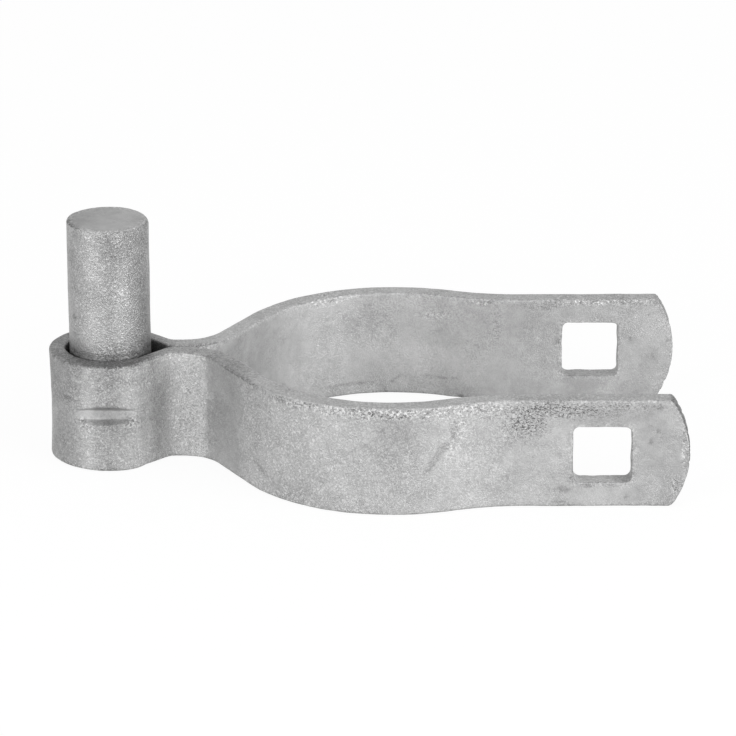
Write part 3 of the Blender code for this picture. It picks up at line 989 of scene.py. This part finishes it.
class Net:
    """Adds nodes to one tree. A socket given a socket is linked, and any other value is set."""

    def __init__(self, tree):
        self.tree = tree

    def add(self, kind, sockets=(), **settings):
        made = self.tree.nodes.new(kind)
        for key, value in settings.items():
            setattr(made, key, value)
        for key, value in dict(sockets).items():
            if isinstance(value, bpy.types.NodeSocket):
                self.tree.links.new(value, made.inputs[key])
            else:
                made.inputs[key].default_value = value
        return made

    def maths(self, operation, a, b=0.0, c=0.0):
        made = self.add("ShaderNodeMath", {0: a, 1: b, 2: c}, operation=operation)
        return made.outputs[0]

    def total(self, start, *terms):
        """The start value plus each term's value times its weight."""
        for value, weight in terms:
            start = self.maths("MULTIPLY_ADD", value, weight, start)
        return start

    def ramp(self, value, low, high, to_low=0.0, to_high=1.0):
        """A smooth step of the value from one level to another."""
        sockets = {"Value": value, "From Min": low, "From Max": high,
                   "To Min": to_low, "To Max": to_high}
        made = self.add("ShaderNodeMapRange", sockets, interpolation_type="SMOOTHSTEP")
        return made.outputs["Result"]

    def noise(self, vector, size, detail=2.0, rough=0.5, warp=0.0):
        """Noise whose lumps are about this many millimetres across."""
        sockets = {"Vector": vector, "Scale": 1 / (size * MM), "Detail": detail,
                   "Roughness": rough, "Distortion": warp}
        return self.add("ShaderNodeTexNoise", sockets).outputs["Fac"]

    def seen_or_mirrored(self):
        """1 for rays from the camera and for mirrored and clear ones, and 0 for the rest."""
        path = self.add("ShaderNodeLightPath").outputs
        mirrored = self.maths("MAXIMUM", path["Is Glossy Ray"], path["Is Transmission Ray"])
        return self.maths("MAXIMUM", path["Is Camera Ray"], mirrored)

    def stretched(self, vector, along, up):
        """The place with its x and z divided by these, which stretches what is drawn on it."""
        sockets = {"Vector": vector, "Scale": (1 / along, 1.0, 1 / up)}
        return self.add("ShaderNodeMapping", sockets).outputs["Vector"]


def new_group(name, inputs, outputs):
    """An empty shader node group with these value sockets, and a vector input named Place."""
    group = bpy.data.node_groups.new(name, "ShaderNodeTree")
    group.interface.new_socket("Place", in_out="INPUT", socket_type="NodeSocketVector")
    for key in inputs:
        group.interface.new_socket(key, in_out="INPUT", socket_type="NodeSocketFloat")
    for key in outputs:
        group.interface.new_socket(key, in_out="OUTPUT", socket_type="NodeSocketFloat")
    net = Net(group)
    return group, net, net.add("NodeGroupInput").outputs, net.add("NodeGroupOutput").inputs


def zinc_mottle():
    """Cloudy zinc: a tone, patches of coarser grain, and faint random stains, each from 0 to 1."""
    group, net, given, result = new_group("zinc_mottle", (), ("Tone", "Coarse", "Stain"))
    place = given["Place"]
    cloud = net.noise(place, 8.0, 4.0, 0.6, 0.6)
    fleck = net.noise(place, 1.8, 3.0, 0.6, 0.3)
    net.tree.links.new(net.ramp(net.total(0.0, (cloud, 0.6), (fleck, 0.4)), 0.34, 0.66), result["Tone"])
    net.tree.links.new(net.ramp(net.noise(place, 10.0, 3.0, 0.55, 0.5), 0.40, 0.60), result["Coarse"])
    net.tree.links.new(net.ramp(net.noise(place, 4.5, 5.0, 0.6, 1.0), 0.60, 0.74), result["Stain"])
    return group


def zinc_grain():
    """Fine wormy grain of the coat, as a height about zero that grows with the coarseness: narrow
    ridges along the middle level of one noise, over the small lumps of another."""
    group, net, given, result = new_group("zinc_grain", ("Coarse",), ("Height",))
    place = given["Place"]
    pebble = net.noise(place, 0.32, 1.0, 0.5, 0.5)
    worm = net.maths("ABSOLUTE", net.maths("SUBTRACT", net.noise(place, 0.53, 1.0, 0.5, 0.9), 0.5))
    both = net.total(-0.365, (net.ramp(worm, 0.0, 0.11, 1.0, 0.0), 0.29), (pebble, 0.5))
    amount = net.total(0.42, (given["Coarse"], 0.75))
    net.tree.links.new(net.maths("MULTIPLY", both, amount), result["Height"])
    return group


def rim_wear_and_glints():
    """Bright flecks, which are painted glints, and dark nicks along rims and where beads of zinc stand,
    from 0 to 1.
    """
    group, net, given, result = new_group("rim_wear_and_glints", ("Rim", "Beads"), ("GlintFleck", "Nick"))
    place = given["Place"]
    here = net.maths("MAXIMUM", net.maths("MULTIPLY", given["Rim"], 0.3), given["Beads"])
    fleck = net.ramp(net.noise(place, 0.5, 2.0, 0.6, 0.4), 0.53, 0.60)
    nick = net.ramp(net.noise(net.stretched(place, 1.5, 1.0), 0.6, 2.0, 0.6, 0.8), 0.55, 0.62)
    # Painted glints: bright flecks in the colour along rims and on beads
    net.tree.links.new(net.maths("MULTIPLY", fleck, here), result["GlintFleck"])
    net.tree.links.new(net.maths("MULTIPLY", nick, here), result["Nick"])
    return group


def zinc_marks():
    """Marks with ragged edges: stains, some of which are painted shade, and small dark pits that lie
    along the strip, from 0 to 1.
    """
    group, net, given, result = new_group("zinc_marks", ("Stain", "Pits"), ("Stain", "Pit"))
    place = given["Place"]
    ragged = net.total(given["Stain"], (net.noise(place, 0.9, 4.0, 0.65, 0.5), 1.6))
    net.tree.links.new(net.ramp(ragged, 1.0, 1.5), result["Stain"])
    pit = net.noise(net.stretched(place, 1.8, 1.0), 0.25, 1.5, 0.5, 0.6)
    net.tree.links.new(net.maths("MULTIPLY", net.ramp(pit, 0.50, 0.62), given["Pits"]), result["Pit"])
    return group


def grey(level):
    return (level, level, level, 1.0)


def galvanised(name, groups, deep, pale, metallic, roughness, bump):
    """Hot-dipped zinc. One shade value gathers the cloudy tone, the grain, the marks and the wear,
    with painted glints and the stored painted highlights and shade, and sets the colour between a
    deep and a pale grey. The grain and marks also make the bump."""
    material = bpy.data.materials.new(name)
    material.use_nodes = True
    net = Net(material.node_tree)
    shader = material.node_tree.nodes["Principled BSDF"]
    place = net.add("ShaderNodeTexCoord").outputs["Object"]

    def stored(key):
        return net.add("ShaderNodeAttribute", attribute_name=key).outputs["Fac"]

    def grouped(key, **sockets):
        return net.add("ShaderNodeGroup", {"Place": place, **sockets}, node_tree=groups[key]).outputs

    rim, beads_and_glints, pale_here = stored("rim"), stored("beads_and_glints"), stored("pale")
    sheared_and_rim_shade, rolled = stored("sheared_and_rim_shade"), stored("rolled")
    mottle = grouped("mottle")
    pits = stored("pits")
    coarse = net.total(-0.2, (stored("coarse"), 1.0), (mottle["Coarse"], 0.4), (beads_and_glints, 0.6),
                       (rim, 0.2), (pits, 0.6))
    grain = grouped("grain", Coarse=coarse)["Height"]
    wear_and_glints = grouped("wear_and_glints", Rim=rim, Beads=beads_and_glints)
    marks = grouped("marks", Stain=stored("stain_and_shade"), Pits=pits)

    # Painted light in the colour: glint flecks, and painted highlights and shade in the stored pale and
    # sheared values
    shade = net.total(0.44, (mottle["Tone"], 0.16), (grain, 0.85), (mottle["Stain"], -0.08),
                      (marks["Stain"], -0.2), (marks["Pit"], -0.45), (wear_and_glints["Nick"], -0.4),
                      (wear_and_glints["GlintFleck"], 0.7), (pale_here, 1.0), (sheared_and_rim_shade, -0.2), (rolled, -0.28))
    mixed = {"Factor": shade, 6: grey(deep), 7: grey(pale)}
    colour = net.add("ShaderNodeMix", mixed, data_type="RGBA").outputs[2]
    net.tree.links.new(colour, shader.inputs["Base Color"])

    rough = net.total(roughness, (mottle["Tone"], -0.05), (marks["Stain"], 0.08),
                      (sheared_and_rim_shade, 0.08), (coarse, 0.04))
    net.tree.links.new(rough, shader.inputs["Roughness"])
    shader.inputs["Metallic"].default_value = metallic

    height = net.total(grain, (wear_and_glints["GlintFleck"], 0.12), (marks["Pit"], -0.3),
                       (wear_and_glints["Nick"], -0.1), (marks["Stain"], -0.05))
    bumped = net.add("ShaderNodeBump", {"Height": height, "Strength": 1.0, "Distance": bump * MM})
    net.tree.links.new(bumped.outputs["Normal"], shader.inputs["Normal"])
    return material


def white_floor():
    """A white floor that keeps the object's shadow: mostly its own white to the camera and in
    reflections, and partly the light that falls on it. From below it is clear."""
    material = bpy.data.materials.new("studio_floor")
    material.use_nodes = True
    net = Net(material.node_tree)
    net.tree.nodes.remove(net.tree.nodes["Principled BSDF"])
    output = net.tree.nodes["Material Output"]
    seen = net.seen_or_mirrored()
    lit = net.add("ShaderNodeBsdfDiffuse", {"Color": grey(1.0)}).outputs[0]
    own = net.add("ShaderNodeEmission", {"Color": grey(1.0), "Strength": 1.0}).outputs[0]
    share = net.maths("MULTIPLY", seen, FLOOR_OWN_WHITE)
    white = net.add("ShaderNodeMixShader", {0: share, 1: lit, 2: own}).outputs[0]
    clear = net.add("ShaderNodeBsdfTransparent").outputs[0]
    below = net.add("ShaderNodeNewGeometry").outputs["Backfacing"]
    both = net.add("ShaderNodeMixShader", {0: below, 1: white, 2: clear}).outputs[0]
    net.tree.links.new(both, output.inputs["Surface"])
    return material


def build_floor():
    around = ((-1, -1), (1, -1), (1, 1), (-1, 1))
    corners = [(x * FLOOR_HALF, y * FLOOR_HALF, FLOOR_Z) for x, y in around]
    mesh = bpy.data.meshes.new("floor")
    mesh.from_pydata(corners, [], [(0, 1, 2, 3)])
    mesh.materials.append(white_floor())
    floor = bpy.data.objects.new("floor", mesh)
    bpy.context.scene.collection.objects.link(floor)


def white_world(level):
    """White to the camera and in reflections, and a paler, softer light on everything else."""
    world = bpy.data.worlds.new("studio_world")
    bpy.context.scene.world = world
    world.use_nodes = True
    net = Net(world.node_tree)
    shade = world.node_tree.nodes["Background"]
    seen = net.seen_or_mirrored()
    shade.inputs["Color"].default_value = grey(1.0)
    net.tree.links.new(net.ramp(seen, 0.0, 1.0, level, 1.0), shade.inputs["Strength"])


def soft_lamp(name, azimuth, wide, watts):
    """An area lamp aimed at the object's middle. Azimuth 0 is the camera's side."""
    data = bpy.data.lights.new(name, "AREA")
    data.shape = "RECTANGLE"
    data.size = wide
    data.size_y = LAMP_TALL
    data.energy = watts
    lamp = bpy.data.objects.new(name, data)
    bpy.context.scene.collection.objects.link(lamp)
    a, e = math.radians(azimuth), math.radians(LAMP_ELEVATION)
    back = Vector((math.sin(a) * math.cos(e), -math.cos(a) * math.cos(e), math.sin(e)))
    lamp.location = Vector((0.0, 0.0, STRIP_W / 2 * MM)) + back * LAMP_DISTANCE
    lamp.rotation_mode = "QUATERNION"
    lamp.rotation_quaternion = back.to_track_quat("Z", "Y")


def place_camera():
    data = bpy.data.cameras.new("camera")
    data.sensor_width = SENSOR
    data.lens = FOCAL_PX / FRAME_PX * SENSOR
    data.clip_end = 10.0
    camera = bpy.data.objects.new("camera", data)
    bpy.context.scene.collection.objects.link(camera)
    turn = Matrix.Rotation(math.radians(-CAMERA_YAW), 4, "Z")
    tilt = Matrix.Rotation(math.radians(90.0 - CAMERA_DOWN), 4, "X")
    roll = Matrix.Rotation(math.radians(CAMERA_ROLL), 4, "Z")
    camera.matrix_world = Matrix.Translation(CAMERA_PLACE) @ turn @ tilt @ roll
    bpy.context.scene.camera = camera


def finish_piece(piece, material, node):
    piece.data.materials.clear()
    piece.data.materials.append(material)
    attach(piece, "root")
    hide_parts(node)


place_camera()
groups = {"mottle": zinc_mottle(), "grain": zinc_grain(), "wear_and_glints": rim_wear_and_glints(), "marks": zinc_marks()}
strip_zinc = galvanised("strip_zinc", groups, deep=0.08, pale=0.59, metallic=0.28,
                        roughness=0.46, bump=0.22)
pin_zinc = galvanised("pin_zinc", groups, deep=0.068, pale=0.525, metallic=0.8,
                      roughness=0.46, bump=0.24)
finish_piece(build_strap(), strip_zinc, "hinge_strap")
finish_piece(build_pin(), pin_zinc, "hinge_pin")
build_floor()
white_world(WORLD_LEVEL)
soft_lamp("left_softbox", azimuth=-42.0, wide=0.3, watts=LEFT_WATTS)
soft_lamp("right_softbox", azimuth=52.0, wide=0.6, watts=RIGHT_WATTS)
bpy.context.scene.view_settings.view_transform = "Standard"
